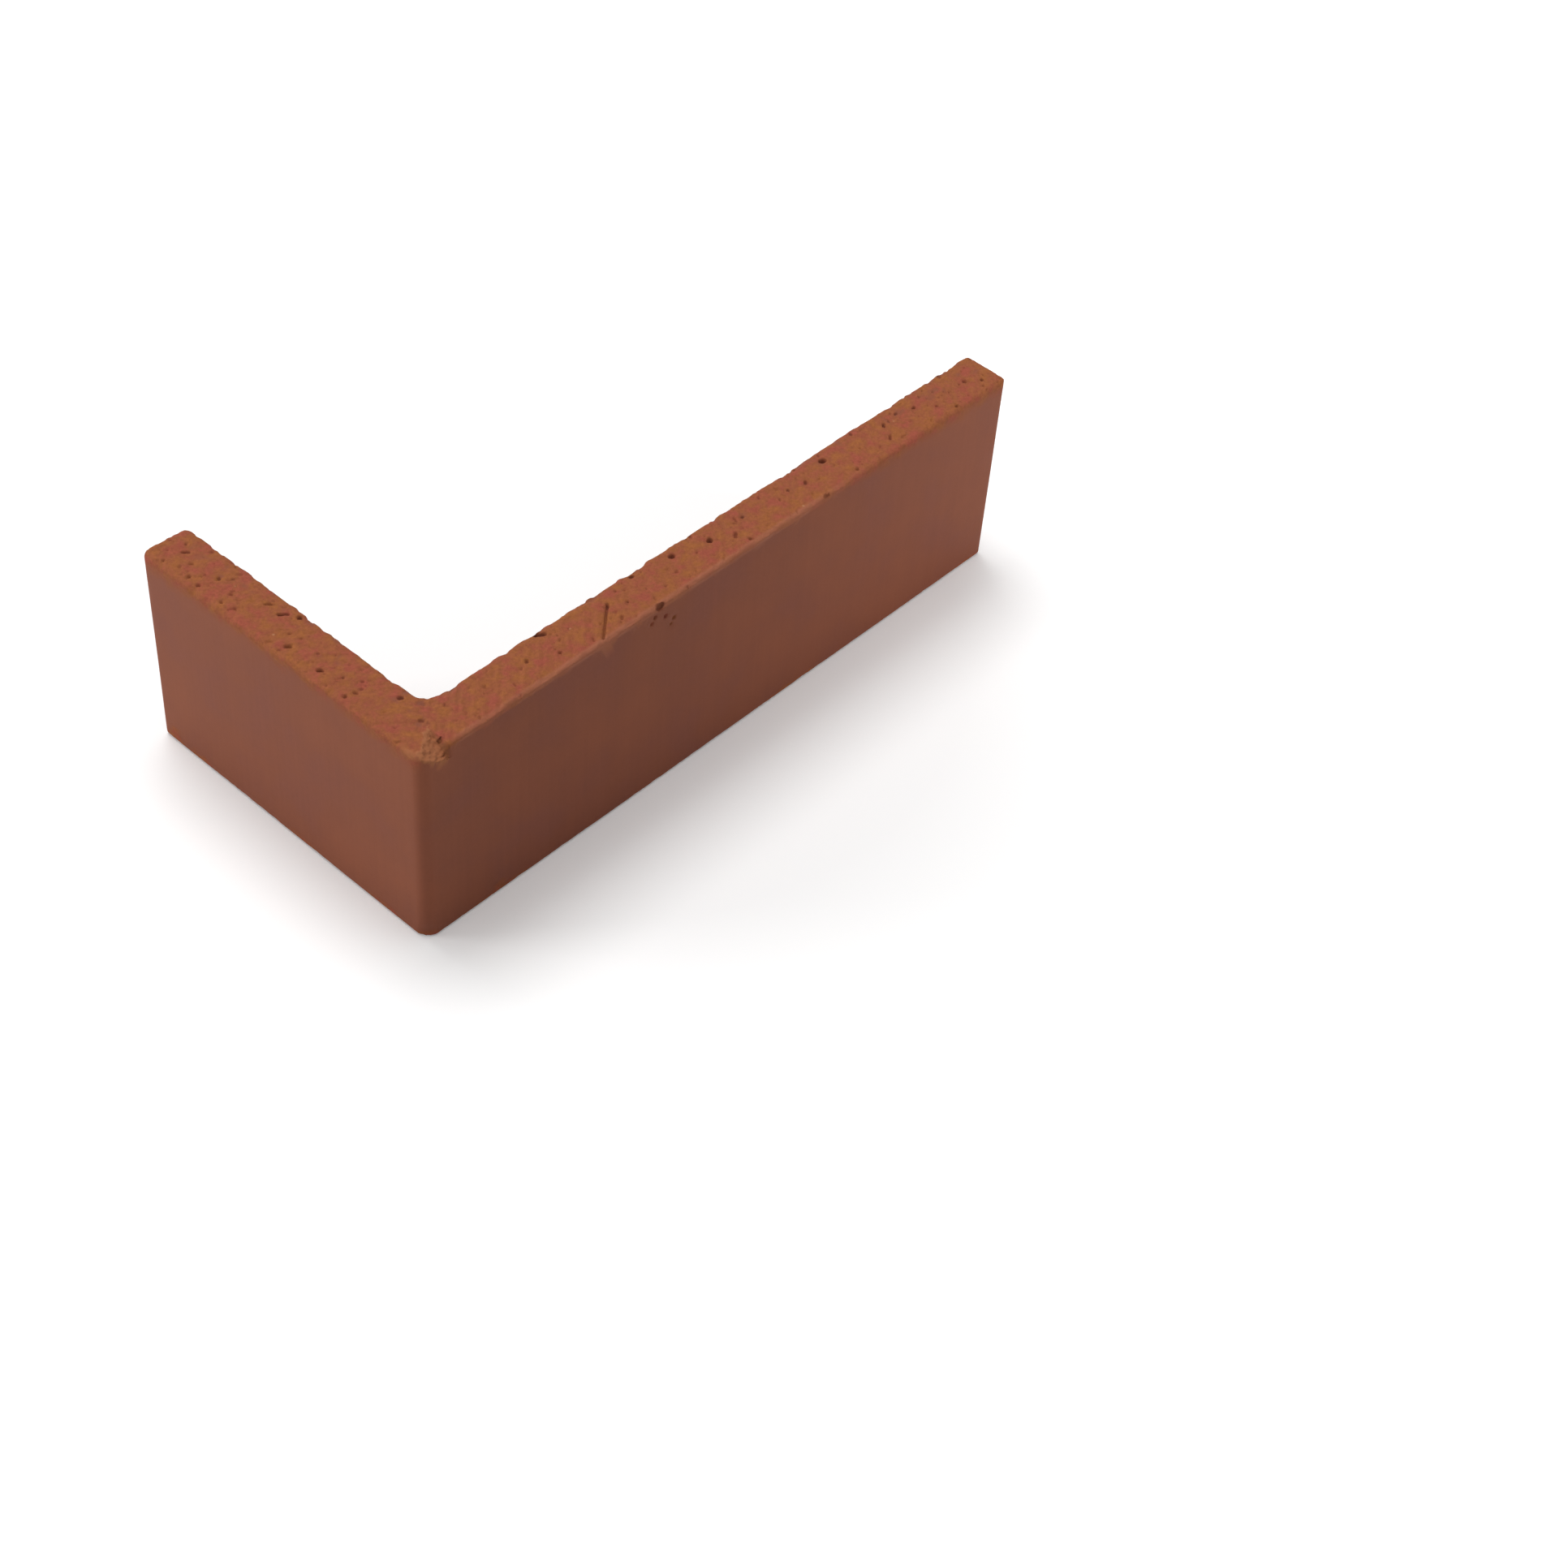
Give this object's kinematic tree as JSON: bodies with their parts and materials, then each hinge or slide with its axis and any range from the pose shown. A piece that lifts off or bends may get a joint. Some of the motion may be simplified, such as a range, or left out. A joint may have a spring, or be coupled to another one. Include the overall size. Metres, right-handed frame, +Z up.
{
  "type": "thin brick corner",
  "caption": "L-shaped slip of fired red clay that wraps an outside wall corner, so that a thin veneer shows a full stretcher on one side and a full header on the other.",
  "frame": {"origin": "centre of the lower bed's bounding box: the long leg runs along +X on the -Y side, the short leg along +Y on the -X side, and the outer arris is at the -X, -Y corner", "axes": "+X along the long leg, +Y along the short leg, +Z up through the course height, from bed to bed"},
  "size_m": [0.1938, 0.0922, 0.0572],
  "materials": {
    "fired_clay": "fired red clay, matt: smooth die skin on the faces, torn wire-cut beds"
  },
  "bodies": {
    "root": {"thin_brick_corner": "fired_clay"}
  },
  "joints": []
}
